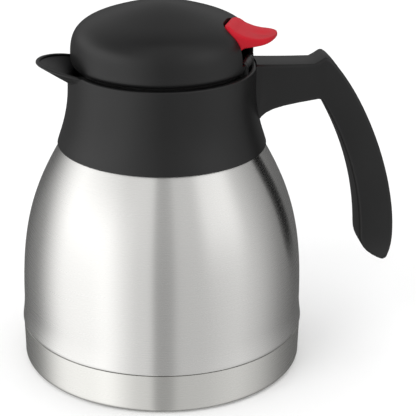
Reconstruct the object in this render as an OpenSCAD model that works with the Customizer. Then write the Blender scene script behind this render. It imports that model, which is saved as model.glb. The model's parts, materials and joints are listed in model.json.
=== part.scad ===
// Thermal carafe: double-walled steel jug, moulded collar with spout and handle,
// and a domed lid that flips on a rear pin and carries a thumb lever and a pour valve.
// +Z is up, the origin is the middle of the base pad's underside, the spout points to -X
// and the handle to +X. The lid with its hinge and lever is turned a little beside the handle.

/* [Body] */
// Diameter of the steel body low down, where it is widest
body_d = 142.1; // [138:0.1:150]
// Height of the plain band round the foot
band_h = 20.8; // [16:0.1:24]
// Thickness of the steel walls
steel_wall = 0.6; // [0.5:0.1:1]
// Space between the outer shell and the liner
vacuum_gap = 5; // [4:0.1:7]
// Height of the straight part of the wall above the band
wall_top = 34; // [30:1:40]

/* [Collar] */
// Height at which the collar meets the steel
collar_z = 114.9; // [110:0.1:118]
// Outer radius of the collar's lower edge
collar_base_r = 51.9; // [50.5:0.1:54]
// Outer radius of the collar at its rim
collar_r = 46.2; // [45.6:0.1:48]
// Height of the rim
rim_z = 154.5; // [153:0.1:158]
// Wall of the collar at its rim
collar_wall = 2.4; // [2:0.1:2.6]

/* [Neck and mouth] */
// Outer radius of the steel neck
neck_r = 37.5; // [37:0.1:38.2]
// Height of the steel lip
lip_z = 137; // [136.5:0.1:137.6]
// Radius of the opening in the mouth piece
mouth_r = 31; // [29:0.1:31.4]
// Radius of the mouth piece's cone at its top
cone_r = 37.4; // [36.8:0.1:38]

/* [Spout] */
// Distance of the spout's tip from the jug's axis
spout_reach = 61.4; // [58:0.1:66]
// Half of the spout's width where it leaves the rim
spout_half_w = 19.9; // [17:0.1:22]
// Height of the spout's lip above the rim
spout_rise = 3.5; // [2:0.1:5]
// Depth of the spout's keel below its lip, where it meets the collar
spout_drop = 11; // [9.5:0.1:13]
// Wall of the spout
spout_wall = 2; // [1.6:0.1:2.6]

/* [Lid] */
// Angle between the lid's lever and the handle, seen from above
lid_turn = -21; // [-24:0.5:24]
// Widest radius of the dome
dome_r = 44.6; // [44:0.1:45]
// Height of the dome above its lower edge
dome_h = 30.6; // [29:0.1:34]
// Wall of the dome
dome_wall = 2.2; // [1.8:0.1:2.4]
// Dark gap between the rim and the dome
seam_gap = 0.7; // [0.5:0.1:1]
// Distance of the hinge pin from the jug's axis
hinge_x = 41.8; // [41.5:0.1:42.2]
// Radius of the hinge pin
hinge_pin_r = 1.2; // [1:0.1:1.4]

/* [Lever and valve] */
// Width of the thumb lever
lever_w = 23.4; // [20:0.1:23.8]
// Distance of the lever's thumb end from the jug's axis
lever_reach = 55.8; // [54:0.1:57]
// Distance of the lever pin from the jug's axis
lever_pin_x = 37; // [36.5:0.1:37.4]
// Radius of the lever pin
lever_pin_r = 1.5; // [1.2:0.1:1.6]
// Radius of the valve stem
stem_r = 2.4; // [2:0.1:2.6]
// Radius of the pour port under the valve
port_r = 8.5; // [7:0.1:9]

/* [Handle] */
// Width of the handle
handle_w = 18; // [16:0.1:22]
// Distance of the grip's outer face from the jug's axis
handle_reach = 118.6; // [112:0.1:126]
// Height of the grip's free end
handle_end_z = 45.8; // [36:0.1:60]
// Thickness of the grip
grip_t = 17.6; // [16:0.1:20]
// Height of the ridge over the arm
ridge_h = 3.1; // [2:0.1:6]

/* [Hidden] */
$fn = 96;

// Clearances
run = 0.05;      // a pin in its running bore
fit = 0.3;       // pieces that slide past or lie beside each other
press = 0.01;    // a pin held in its bore
touch = 0.02;    // faces that are clamped together

black = "#2b2b2b";
steel = "#c6c7c9";
red = "#d4283a";

// Derived sizes of the body
body_r = body_d / 2;
pad_t = 2.6;
pad_r = body_r - 9.7;
cup_lift = 0.5;
cup_wall = 0.8;
cup_corner = 2.6;
foot_r = body_r + 0.25;
recess_r = foot_r - cup_corner - 7;
pan_z = 12;
cap_r = 7;
cap_t = 1.55;
floor_z = 15.4;
floor_rise = 2.6;
floor_corner = 10;
skirt_r = body_r - cup_wall;
skirt_z = pan_z - 4;
bead_r = body_r + 0.95;
shoulder_r = collar_base_r - 1.5;
shoulder_top = 127.3;
liner_neck_r = neck_r - 3;

// Derived sizes of the mouth and the lid
gasket_t = 1.5;
web_z = 129.5;
web_t = 2.3;
seat_z = lip_z + gasket_t;
funnel_top = rim_z - 1.3;
bore_r = collar_r - collar_wall;
chute_z = 145;
dome_z = rim_z + seam_gap;
dome_foot_r = dome_r - 1.3;
dome_top = dome_z + dome_h;
hinge_z = rim_z + 3.5;
knuckle_r = 2.3;
lug_in = 4.5;
lug_out = 8;
lug_gap = lug_out - lug_in + 2 * 0.6;
slot_w = lever_w / 2 + 0.8;
slot_front = lever_pin_x - 5.2;
lever_pin_z = rim_z + 13;
base_t = 2;
base_r = dome_foot_r - dome_wall + 0.3;
flange_z = funnel_top + 0.4;
plug_gap = 0.45;
plug_z = seat_z + 0.5;
plug_floor = 2;
valve_z = plug_z + plug_floor;
cap_z = rim_z + 17;
lid_screw_r = 37.6;
lid_screw_angles = [60, 180, 300];
handle_screw_z = [139.6, 147.2];

function bez(p, t) = pow(1 - t, 3) * p[0] + 3 * pow(1 - t, 2) * t * p[1]
    + 3 * (1 - t) * t * t * p[2] + pow(t, 3) * p[3];
function curve(p, n) = [for (i = [0 : n]) bez(p, i / n)];
function unit(v) = v / norm(v);
function back(path) = [for (i = [len(path) - 1 : -1 : 0]) path[i]];
function tangent(p, i) = unit(p[min(i + 1, len(p) - 1)] - p[max(i - 1, 0)]);
// The same path, moved sideways by d (to the left of its direction)
function aside(p, d) = [for (i = [0 : len(p) - 1])
    let (t = tangent(p, i)) p[i] + d * [-t[1], t[0]]];
function arc(c, r, a0, a1, n) = [for (i = [0 : n])
    let (a = a0 + (a1 - a0) * i / n) c + r * [cos(a), sin(a)]];

// A wall of even thickness on one side of a path, turned about the axis
module turned_wall(path, wall) {
    rotate_extrude() polygon(concat(path, [for (p = back(aside(path, wall))) [max(0, p[0]), p[1]]]));
}

// A closed skin over rings of equal length
module skin(rings) {
    n = len(rings[0]);
    m = len(rings);
    points = [for (ring = rings) for (p = ring) p];
    sides = [for (j = [0 : m - 2]) for (i = [0 : n - 1])
        let (a = j * n + i, b = j * n + (i + 1) % n)
        for (f = [[a, b, b + n], [a, b + n, a + n]]) f];
    ends = [[for (i = [0 : n - 1]) n - 1 - i], [for (i = [0 : n - 1]) (m - 1) * n + i]];
    polyhedron(points = points, faces = concat(ends, sides));
}

// Rectangle with round corners, as points: half sizes a and b, corner radius r
function round_rect(a, b, r, n) = let (q = min(r, a - 0.01, b - 0.01)) concat(
    arc([a - q, b - q], q, 0, 90, n), arc([q - a, b - q], q, 90, 180, n),
    arc([q - a, q - b], q, 180, 270, n), arc([a - q, q - b], q, 270, 360, n));

// ---------- steel body ----------

body_curve = [[body_r, wall_top], [body_r, wall_top + 0.497 * (collar_z - wall_top)],
              [shoulder_r + 13.5, collar_z - 23.4], [shoulder_r, collar_z + 0.3]];
shoulder_curve = [[shoulder_r, collar_z + 0.3], [shoulder_r - 4, collar_z + 7.3],
                  [neck_r + 5.5, shoulder_top], [neck_r + 1.6, shoulder_top]];

module outer_shell() {
    path = concat([[skirt_r, skirt_z], [skirt_r, band_h + 0.1], [body_r + 0.7, band_h + 0.4],
                   [bead_r, band_h + 1.2], [bead_r - 0.15, band_h + 2.4]],
                  curve([[body_r + 0.7, band_h + 4], [body_r + 0.3, band_h + 8],
                         [body_r, wall_top - 3], [body_r, wall_top]], 4),
                  [for (i = [1 : 18]) bez(body_curve, i / 18)],
                  [for (i = [1 : 8]) bez(shoulder_curve, i / 8)],
                  [[neck_r, shoulder_top + 1.2], [neck_r, lip_z - steel_wall]]);
    color(steel) turned_wall(path, steel_wall);
}

module shell_bottom() {
    // Dished pan welded inside the skirt, with a pump-out hole in its middle
    r = skirt_r - steel_wall - run;
    pan_corner = 8;
    path = concat([[2, pan_z]], curve([[r - 4 * pan_corner, pan_z], [r - pan_corner, pan_z],
                                       [r, pan_z], [r, skirt_z]], 8));
    color(steel) turned_wall(path, -steel_wall);
}

module vacuum_cap() {
    edge = 0.6;
    color(steel) rotate_extrude() polygon(concat([[0, pan_z + run], [cap_r, pan_z + run]],
        arc([cap_r - edge, pan_z + cap_t - edge], edge, 0, 90, 4), [[0, pan_z + cap_t]]));
}

module base_cup() {
    corner_z = cup_lift + cup_corner;
    wall = concat([[body_r + 0.6, band_h], [foot_r, corner_z]],
        arc([foot_r - cup_corner, corner_z], cup_corner, -15, -90, 5),
        [[recess_r + 1, cup_lift], [recess_r, pad_t], [0, pad_t]]);
    inner = [[0, pad_t + cup_wall], [recess_r + 0.6, pad_t + cup_wall],
             [recess_r + 1.4, cup_lift + cup_wall], [foot_r - cup_corner, cup_lift + cup_wall],
             [foot_r - cup_wall - 0.6, corner_z - 0.9],
             [foot_r - cup_wall, corner_z], [foot_r - cup_wall + 0.3, band_h]];
    color(steel) rotate_extrude() polygon(concat(wall, inner));
}

module base_pad() {
    top = pad_t - touch;
    color(black) rotate_extrude() polygon([[0, 0], [pad_r - 0.6, 0], [pad_r, 0.6], [pad_r, top], [0, top]]);
}

module inner_liner() {
    // The path is the face that the drink touches, from the middle of the floor to the lip
    r = body_r - steel_wall * 2 - vacuum_gap + 0.9;
    top = shoulder_r - vacuum_gap;
    wide = curve([[r, wall_top], [r, wall_top + 0.47 * (collar_z - wall_top)],
                  [top + 13, collar_z - 27], [top, collar_z - 4]], 14);
    neck = curve([[top, collar_z - 4], [top - 4, collar_z + 3],
                  [liner_neck_r, collar_z + 5], [liner_neck_r, collar_z + 13]], 8);
    flat_r = r - floor_corner;
    roll = 1.6;
    path = concat(curve([[0, floor_z + floor_rise], [flat_r / 3, floor_z + floor_rise],
                         [flat_r * 0.6, floor_z], [flat_r, floor_z]], 5),
                  arc([flat_r, floor_z + floor_corner], floor_corner, -75, 0, 6), wide,
                  [for (i = [1 : 8]) neck[i]], [[liner_neck_r, lip_z - roll]],
                  arc([liner_neck_r + roll, lip_z - roll], roll, 165, 90, 4), [[neck_r, lip_z]]);
    color(steel) turned_wall(path, touch - steel_wall);
}

// ---------- collar, neck and mouth ----------

// Round scoop of the spout, made smaller by its wall for the hollow
module scoop(inset) {
    tip_c = spout_half_w - spout_reach;
    keel_slope = (spout_reach - collar_r) / spout_drop;
    low = spout_drop + 6;
    hull() {
        translate([tip_c, 0, rim_z + spout_rise - 0.4 + (inset > 0 ? 2 : 0)])
            cylinder(r = spout_half_w - inset + (inset > 0 ? 2 / keel_slope : 0), h = 0.4, $fn = 48);
        translate([-spout_reach + low * keel_slope + 5 + inset * 0.6, 0,
                   rim_z + spout_rise - low + inset])
            sphere(r = 5 - inset * 0.4, $fn = 32);
    }
}

collar_curve = [[collar_base_r, collar_z], [collar_r - 0.1, collar_z + 16.4],
                [collar_r, rim_z - 13.6], [collar_r, rim_z - 7.5]];

// Radius of a path at a height; the web ends in the middle of the collar's wall
function radius_at(path, z) = lookup(z, [for (p = path) [p[1], p[0]]]);
web_r = radius_at(curve(collar_curve, 12), web_z + web_t / 2) - collar_wall / 2;

module collar_ring() {
    outer = concat(curve(collar_curve, 12),
                   arc([collar_r - 0.8, rim_z - 0.8], 0.8, 0, 90, 4), [[bore_r + 0.3, rim_z]]);
    inner = [[bore_r, rim_z - 0.3], [bore_r, rim_z - 7.5]];
    foot = curve([[bore_r, rim_z - 7.5], [bore_r, rim_z - 14], [bore_r - 0.4, collar_z + 16],
                  [shoulder_r + 0.25, collar_z]], 12);
    rotate_extrude() polygon(concat(outer, inner, [for (i = [1 : 12]) foot[i]]));
    // Web that is clamped between the shoulder and the neck ring
    translate([0, 0, web_z]) difference() {
        cylinder(r = web_r, h = web_t);
        translate([0, 0, -1]) cylinder(r = neck_r + fit, h = web_t + 2);
    }
}

// The lid's pieces are drawn with the lever over +X and then turned beside the handle
module lid_place() {
    rotate([0, 0, lid_turn]) children();
}

// One ear of the hinge on the rim
module hinge_lug(side) {
    y0 = side > 0 ? lug_in : -lug_out;
    lid_place() translate([hinge_x, y0, 0]) {
        translate([0, 0, hinge_z]) rotate([-90, 0, 0]) cylinder(r = knuckle_r, h = lug_out - lug_in);
        translate([-knuckle_r, 0, rim_z - 3.2])
            cube([2 * knuckle_r, lug_out - lug_in, hinge_z - rim_z + 3.2]);
    }
}

module collar() {
    color(black) difference() {
        union() {
            difference() {
                union() {
                    collar_ring();
                    difference() {
                        scoop(0);
                        cylinder(r = collar_r - 0.4, h = 400);
                    }
                }
                // The hollow of the spout, open through the wall above the chute
                intersection() {
                    scoop(spout_wall);
                    translate([-100, -50, chute_z]) cube([100, 100, 60]);
                }
                // Room for the dome
                translate([0, 0, rim_z + 0.05]) cylinder(r = dome_r + 0.5, h = 40);
            }
            hinge_lug(1);
            hinge_lug(-1);
        }
        // Hole of the hinge pin, and holes of the handle's screws
        lid_place() translate([hinge_x, -lug_out - 1, hinge_z]) rotate([-90, 0, 0])
            cylinder(r = hinge_pin_r + press, h = 2 * lug_out + 2, $fn = 48);
        for (z = handle_screw_z) translate([bore_r - 3, 0, z]) rotate([0, 90, 0])
            cylinder(r = 1.7, h = 12, $fn = 32);
    }
}

module neck_gasket() {
    color("#3a3a3a") rotate_extrude() polygon([[neck_r + 0.8, shoulder_top + 0.8],
        [neck_r + 4.6, shoulder_top + 0.4], [neck_r + 4.6, web_z - touch], [neck_r + 0.8, web_z - touch]]);
}

module neck_ring() {
    // Ring nut on the neck, with slots for a spanner
    z0 = web_z + web_t + touch;
    color(black) difference() {
        translate([0, 0, z0]) cylinder(r = neck_r + 4, h = lip_z - z0 - 0.6);
        translate([0, 0, z0 - 1]) cylinder(r = neck_r + 0.1, h = 20);
        for (a = [0 : 45 : 315]) rotate([0, 0, a + 22.5])
            translate([neck_r + 2.4, -2, z0 + 2]) cube([4, 4, 10]);
    }
}

module mouth_gasket() {
    color("#3a3a3a") rotate_extrude() translate([liner_neck_r + fit, lip_z + touch])
        square([neck_r - liner_neck_r - fit - 0.2, gasket_t - 2 * touch]);
}

module mouth_funnel() {
    color(black) difference() {
        union() {
            rotate_extrude() polygon([[mouth_r, lip_z - 4], [liner_neck_r - fit, lip_z - 4],
                [liner_neck_r - fit, seat_z], [neck_r + 0.7, seat_z], [neck_r + 0.7, funnel_top - 5.5],
                [cone_r + 2.8, funnel_top - 2.2], [bore_r - fit, funnel_top - 2.2],
                [bore_r - fit, funnel_top], [cone_r, funnel_top], [mouth_r, seat_z + 0.1]]);
            // Chute that carries the drink across to the spout
            rotate([0, 0, 180 - 32]) rotate_extrude(angle = 64)
                translate([neck_r, chute_z - 2.5]) square([bore_r - fit - neck_r, 2.5]);
        }
        intersection() {
            scoop(spout_wall);
            translate([-100, -50, chute_z]) cube([100, 100, 60]);
        }
        // Clear of the hinge ears
        lid_place() translate([hinge_x - knuckle_r - 0.5, -lug_out - 0.5, rim_z - 3.7])
            cube([10, 2 * lug_out + 1, 6]);
    }
}

// ---------- handle ----------

// The handle is drawn between an outer and an inner edge, seen from the side.
root_x = collar_r - 0.9;
root_z = collar_z + 6.1;
arm_end = handle_reach - 44.5;
arm_low = rim_z - 18.3;
grip_z = 62;
grip_in = handle_reach - grip_t;
handle_outer = concat(
    [for (i = [0 : 5]) [root_x + (arm_end - root_x) * i / 5, rim_z + 0.6 * pow(1 - i / 5, 2)]],
    [[arm_end + 2.6, rim_z + 0.45 * ridge_h], [arm_end + 4.6, rim_z + 0.9 * ridge_h],
     [arm_end + 6.2, rim_z + ridge_h], [arm_end + 8.2, rim_z + 0.62 * ridge_h]],
    [for (i = [0 : 16]) bez([[arm_end + 10.6, rim_z - 0.5], [arm_end + 27, rim_z - 19],
        [handle_reach, grip_z + 32], [handle_reach, grip_z]], i / 16)],
    [for (i = [1 : 4]) bez([[handle_reach, grip_z], [handle_reach, grip_z - 6],
        [handle_reach - 0.3, handle_end_z + 5.6], [handle_reach - 1.1, handle_end_z + 2]], i / 4)]);
handle_inner = concat(
    [for (i = [0 : 5]) bez([[root_x, root_z], [root_x + 2.6, root_z + 10.5],
        [root_x + 7, arm_low - 3.6], [arm_end + 2, arm_low]], pow(i / 5, 1.25))],
    [[arm_end + 2.9, arm_low + 0.1], [arm_end + 3.7, arm_low - 0.1], [arm_end + 4.6, arm_low - 0.8],
     [arm_end + 5.4, arm_low - 1.9]],
    [for (i = [0 : 16]) bez([[arm_end + 6.4, arm_low - 3.6], [arm_end + 17, arm_low - 22.2],
        [grip_in - 1.3, grip_z + 30], [grip_in, grip_z + 2]], i / 16)],
    [for (i = [1 : 4]) bez([[grip_in, grip_z + 2], [grip_in + 0.2, grip_z - 5],
        [grip_in + 4, handle_end_z + 5], [handle_reach - 2.9, handle_end_z]], i / 4)]);
stations = len(handle_outer);
function handle_half(i) = handle_w / 2 * (i < 10 ? 1 : i < stations - 4
    ? 1 + 0.06 * sin(180 * (i - 10) / 16) : 1 - 0.06 * pow(i - stations + 5, 1.5));
// One ring of the handle, from depth d0 to d1 below the outer edge
function handle_ring(i, d0, d1, inset, r, n) = let (
    o = handle_outer[i], w = handle_inner[i], d = unit(w - o),
    far = d1 > 0 ? d1 : norm(w - o) + d1,
    c = o + d * (d0 + far) / 2, a = handle_half(i) - inset, b = abs(far - d0) / 2)
    [for (p = round_rect(a, b, r, n)) [c[0] + d[0] * p[1], p[0], c[1] + d[1] * p[1]]];
module handle_form(from, to, d0, d1, inset, r, n) {
    skin([for (i = [from : to]) handle_ring(i, d0, d1, inset, r, n)]);
}

cover_t = 2.4;
cover_from = 8;
module handle() {
    bays = [[11, 15], [16, 20], [21, 25]];
    color(black) difference() {
        handle_form(0, stations - 1, 0, 0, 0, 2.2, 4);
        // Recess of the cover, and the hollow bays between the ribs behind it
        handle_form(cover_from, stations - 3, -4, cover_t, 2, 0.4, 1);
        for (b = bays) handle_form(b[0], b[1], cover_t - 0.2, -2.6, 2.6, 1, 1);
        // The root follows the collar
        rotate_extrude() polygon(concat([[0, 100]], [for (p = curve(collar_curve, 12)) p + [0.02, 0]],
                                        [[collar_r + 0.02, rim_z + 20], [0, rim_z + 20]]));
        for (z = handle_screw_z) translate([root_x - 4, 0, z]) rotate([0, 90, 0])
            cylinder(r = 1.55, h = 16, $fn = 32);
    }
}

module handle_cover() {
    color(black) handle_form(cover_from, stations - 3, 0, cover_t - 0.05, 2.1, 0.5, 2);
}

module handle_screws() {
    color(steel) for (z = handle_screw_z) translate([bore_r - 0.3, 0, z]) rotate([0, 90, 0]) {
        cylinder(r = 1.5, h = 10, $fn = 32);
        translate([0, 0, -1.8]) difference() {
            cylinder(r = 3, h = 1.9, $fn = 32);
            translate([0, 0, -0.5]) cylinder(r = 1.4, h = 1.4, $fn = 6);
        }
    }
}

// ---------- lid ----------

dome_path = concat([[dome_foot_r, dome_z + 0.25], [dome_foot_r + 0.45, dome_z + 1],
                    [dome_r - 0.3, dome_z + 2.6]],
    curve([[dome_r, dome_z + 5.5], [dome_r, dome_z + 16.8], [dome_r - 4, dome_z + dome_h - 10.3],
           [dome_r - 17.1, dome_z + dome_h - 5.9]], 10),
    [for (i = [1 : 6]) bez([[dome_r - 17.1, dome_z + dome_h - 5.9],
        [dome_r - 26.1, dome_z + dome_h - 2.9], [9, dome_top], [0, dome_top]], i / 6)]);
dome_inner_path = concat([[base_r + 0.2, dome_z]],
    [for (i = [2 : len(dome_path) - 2]) aside(dome_path, dome_wall)[i]], [[0, dome_top - dome_wall]]);

// The room inside the dome
module dome_room() {
    rotate_extrude() polygon(concat(dome_inner_path, [[0, dome_z]]));
}

// The plan of the slot that the lever moves in; its front end is round
module lever_plan(half_w, front) {
    r = min(half_w, 7);
    hull() {
        for (s = [-1, 1]) translate([front + r, s * (half_w - r)]) circle(r = r);
        translate([front + r, -half_w]) square([60, 2 * half_w]);
    }
}

module lid_dome() {
    color(black) lid_place() difference() {
        union() {
            rotate_extrude() polygon(concat(dome_path, back(dome_inner_path)));
            intersection() {
                dome_room();
                union() {
                    // Bosses of the lid's screws and cheeks that carry the lever pin
                    for (a = lid_screw_angles) rotate([0, 0, a]) translate([lid_screw_r, 0, dome_z + base_t])
                        cylinder(r = 3, h = dome_h);
                    for (s = [-1, 1]) translate([lever_pin_x - 4, s * (slot_w + 2.2) - 2.2, lever_pin_z - 4])
                        cube([8, 4.4, dome_h]);
                }
            }
        }
        translate([0, 0, dome_z - 1]) linear_extrude(dome_h + 5) lever_plan(slot_w, slot_front);
        translate([lever_pin_x, -slot_w - 4.2, lever_pin_z]) rotate([-90, 0, 0])
            cylinder(r = lever_pin_r + press, h = 2 * slot_w + 8.4, $fn = 48);
        for (a = lid_screw_angles) rotate([0, 0, a]) translate([lid_screw_r, 0, dome_z])
            cylinder(r = 1.15, h = 9, $fn = 24);
    }
}

module lid_base() {
    color(black) lid_place() difference() {
        union() {
            difference() {
                translate([0, 0, dome_z]) cylinder(r = base_r, h = base_t);
                // Notches beside the knuckle, clear of the hinge ears
                for (s = [-1, 1]) translate([hinge_x - knuckle_r - 1, s * (lug_in + lug_out) / 2 - lug_gap / 2, dome_z - 1])
                    cube([10, lug_gap, base_t + 2]);
            }
            translate([0, 0, dome_z]) cylinder(r = stem_r + 2.1, h = base_t + 4.8);
            translate([hinge_x, -lug_in + fit, hinge_z]) rotate([-90, 0, 0])
                cylinder(r = knuckle_r, h = 2 * (lug_in - fit));
            translate([hinge_x - 6, -lug_in + fit, dome_z]) cube([6, 2 * (lug_in - fit), base_t]);
        }
        translate([0, 0, dome_z - 1]) cylinder(r = stem_r + run, h = 20, $fn = 48);
        translate([hinge_x, -10, hinge_z]) rotate([-90, 0, 0])
            cylinder(r = hinge_pin_r + run, h = 20, $fn = 48);
        for (a = lid_screw_angles) rotate([0, 0, a]) translate([lid_screw_r, 0, dome_z - 1])
            cylinder(r = 1.3, h = base_t + 2, $fn = 24);
    }
}

// Radius of the mouth cone at a height
function cone_at(z) = mouth_r + (cone_r - mouth_r) * (z - seat_z - 0.1) / (funnel_top - seat_z - 0.1);

module plug_body() {
    wall = 1.8;
    top = flange_z;
    low = cone_at(plug_z) - plug_gap;
    seal_z = plug_z + 2.4;
    color(black) lid_place() difference() {
        rotate_extrude() polygon([[0, plug_z], [low, plug_z], [cone_at(top) - plug_gap, top],
            [base_r - 0.3, top], [base_r - 0.3, dome_z - 0.02], [cone_at(top) - plug_gap - wall, dome_z - 0.02],
            [low - wall + 0.5, valve_z], [0, valve_z]]);
        translate([0, 0, plug_z - 1]) cylinder(r = port_r, h = plug_floor + 2, $fn = 64);
        // Groove of the seal
        rotate_extrude() polygon([[cone_at(seal_z) - plug_gap - 1, seal_z],
            [cone_at(seal_z) + 2, seal_z], [cone_at(seal_z) + 2, seal_z + 2],
            [cone_at(seal_z) - plug_gap - 1, seal_z + 2]]);
        // Pour window towards the spout
        rotate([0, 0, -lid_turn]) intersection() {
            translate([-60, -16, chute_z + 0.6]) cube([60, 32, 5.4]);
            difference() {
                cylinder(r = 60, h = 200);
                cylinder(r = low - wall - 3, h = 200);
            }
        }
        // Clear of the hinge ears
        translate([hinge_x - knuckle_r - 1, -lug_out - 1, top - 1]) cube([10, 2 * lug_out + 2, 6]);
        for (a = lid_screw_angles) rotate([0, 0, a]) translate([lid_screw_r, 0, top - 1]) {
            cylinder(r = 1.3, h = 6, $fn = 24);
            cylinder(r = 2.4, h = 1.9, $fn = 24);
        }
    }
}

module plug_seal() {
    seal_z = plug_z + 2.4;
    r = cone_at(seal_z) - plug_gap;
    color("#3a3a3a") rotate_extrude() polygon([[r - 0.95, seal_z + 0.1], [r + 0.2, seal_z + 0.1],
        [r + 0.85, seal_z + 1.7], [r - 0.95, seal_z + 1.9]]);
}

module lid_screws() {
    color(steel) lid_place() for (a = lid_screw_angles) rotate([0, 0, a]) translate([lid_screw_r, 0, flange_z + 0.1]) {
        cylinder(r = 1.1, h = 10, $fn = 24);
        difference() {
            cylinder(r = 2.2, h = 0.78, $fn = 24);
            translate([0, 0, -0.5]) cylinder(r = 0.9, h = 0.9, $fn = 6);
        }
    }
}

module hinge_pin() {
    color(steel) lid_place() translate([hinge_x, -lug_out, hinge_z]) rotate([-90, 0, 0])
        cylinder(r = hinge_pin_r, h = 2 * lug_out, $fn = 48);
}

module lever_pin() {
    color(steel) lid_place() translate([lever_pin_x, -slot_w - 4, lever_pin_z]) rotate([-90, 0, 0])
        cylinder(r = lever_pin_r, h = 2 * slot_w + 8, $fn = 48);
}

// ---------- lever and valve ----------

lever_front = slot_front + 1;
lever_neck_x = lever_pin_x + 8;
// Upper and lower edge of the lever from its front to its thumb end, seen from the side
lever_top = concat(curve([[lever_front, lever_pin_z + 7.3], [lever_front + 0.1, lever_pin_z + 10.4],
        [lever_front + 3.2, lever_pin_z + 9.9], [lever_pin_x + 2, lever_pin_z + 8]], 8),
    [for (i = [1 : 10]) bez([[lever_pin_x + 2, lever_pin_z + 8], [lever_pin_x + 6.5, lever_pin_z + 6.2],
        [lever_reach - 8.8, lever_pin_z + 5.4], [lever_reach, lever_pin_z + 5.9]], i / 10)]);
lever_low = concat(curve([[lever_front, lever_pin_z + 6], [lever_front, lever_pin_z - 1.5],
        [lever_pin_x - 2.5, lever_pin_z - 3.7], [lever_pin_x + 1, lever_pin_z - 3.7]], 8),
    [for (i = [1 : 4]) bez([[lever_pin_x + 1, lever_pin_z - 3.7], [lever_pin_x + 4, lever_pin_z - 3.7],
        [lever_neck_x - 3.5, lever_pin_z - 0.2], [lever_neck_x, lever_pin_z + 0.7]], i / 4)],
    [for (i = [1 : 6]) bez([[lever_neck_x, lever_pin_z + 0.7], [lever_neck_x + 4.5, lever_pin_z + 1.8],
        [lever_reach - 3, lever_pin_z + 3], [lever_reach, lever_pin_z + 4.9]], i / 6)]);
lever_n = len(lever_top);
// Half of the lever's width at a distance from the jug's axis; both ends are round in plan
lever_nose = 5;
lever_tail_x = 47;
function lever_half(x) = let (n = max(0, lever_front + lever_nose - x),
    t = max(0, x - lever_tail_x) / (lever_reach + 0.4 - lever_tail_x))
    (lever_w / 2 - lever_nose + sqrt(pow(lever_nose, 2) - min(n, lever_nose) * n)) * sqrt(1 - t * t);
function lever_ring(i) = let (u = lever_top[i], l = lever_low[i], c = (u + l) / 2,
    b = max(0.3, norm(u - l) / 2), d = norm(u - l) > 0.01 ? unit(u - l) : [0, 1])
    [for (p = round_rect(lever_half(u[0]), b, 2.2, 4)) [c[0] - d[0] * p[1], p[0], c[1] - d[1] * p[1]]];

module thumb_lever() {
    color(red) lid_place() difference() {
        union() {
            skin([for (i = [0 : lever_n - 1]) lever_ring(i)]);
            // Arm to the valve, ending in a fork round the stem
            translate([6, -3.5, lever_pin_z - 1.6]) cube([lever_pin_x - 8, 7, 3.4]);
            for (s = [-1, 1]) {
                translate([0, s * (stem_r + 2) - 1.3, lever_pin_z - 0.6]) cube([10, 2.6, 3.2]);
                translate([0, s * (stem_r + 2) - 1.3, lever_pin_z + 2]) rotate([-90, 0, 0])
                    cylinder(r = 1.7, h = 2.6, $fn = 32);
            }
            translate([6, -stem_r - 3.3, lever_pin_z - 1.6]) cube([4, 2 * stem_r + 6.6, 3.4]);
        }
        translate([lever_pin_x, -20, lever_pin_z]) rotate([-90, 0, 0])
            cylinder(r = lever_pin_r + run, h = 40, $fn = 48);
        // Dish for the thumb
        translate([lever_reach - 6.4, 0, lever_pin_z + 4.9 + 19.2]) rotate([90, 0, 0])
            rotate_extrude() intersection() {
                circle(r = 19.2);
                translate([0, -20]) square([20, 40]);
            }
    }
}

module valve_stem() {
    color(steel) translate([0, 0, valve_z + 1.4]) cylinder(r = stem_r, h = cap_z + 2.4 - valve_z - 1.4, $fn = 48);
}

module stem_cap() {
    color(black) difference() {
        translate([0, 0, cap_z]) cylinder(r = 6, h = 2.6, $fn = 48);
        translate([0, 0, cap_z - 1]) cylinder(r = stem_r + press, h = 3.4, $fn = 48);
    }
}

module valve_disc() {
    z = valve_z + 1.4;
    color(black) difference() {
        rotate_extrude() polygon([[0, z - 0.9], [port_r - 0.5, z - 0.9], [port_r - 0.5, z],
            [port_r + 3.2, z], [port_r + 3.2, z + 1.2], [port_r, z + 2], [4.4, z + 2], [4, z + 4.6], [0, z + 4.6]]);
        translate([0, 0, z]) cylinder(r = stem_r + press, h = 10, $fn = 48);
    }
}

module valve_seal() {
    color("#3a3a3a") rotate_extrude() translate([port_r - 0.4, valve_z + 0.1]) square([3.4, 1.28]);
}

module valve_spring() {
    // Compression spring between the disc and the lid's base
    wire = 0.5;
    turns = 5;
    coil_r = stem_r + 3.6;
    z0 = valve_z + 3.4 + wire + 0.1;
    z1 = dome_z - wire - 0.15;
    steps = turns * 14;
    color(steel) skin([for (i = [0 : steps]) let (a = 360 * turns * i / steps,
        z = z0 + (z1 - z0) * i / steps)
        [for (k = [0 : 5]) let (b = -60 * k) [(coil_r + wire * cos(b)) * cos(a),
            (coil_r + wire * cos(b)) * sin(a), z + wire * sin(b)]]]);
}

outer_shell();
shell_bottom();
base_cup();
base_pad();
inner_liner();
vacuum_cap();
collar();
neck_gasket();
neck_ring();
mouth_gasket();
mouth_funnel();
handle();
handle_cover();
handle_screws();
hinge_pin();
lid_dome();
lid_base();
plug_body();
plug_seal();
lid_screws();
lever_pin();
thumb_lever();
valve_stem();
stem_cap();
valve_disc();
valve_seal();
valve_spring();
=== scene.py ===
# %% [markdown]
# # A thermal carafe with a flip lid
# The jug is two steel shells with a vacuum between them. A black moulded collar with a spout is
# clamped on its neck and carries the handle, and a domed lid with a red thumb lever sits in the
# collar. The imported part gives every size, in metres, so each piece below is made where it belongs.
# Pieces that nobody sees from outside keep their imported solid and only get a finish.

import json
from math import atan2, cos, hypot, pi, radians, sin, sqrt

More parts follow.
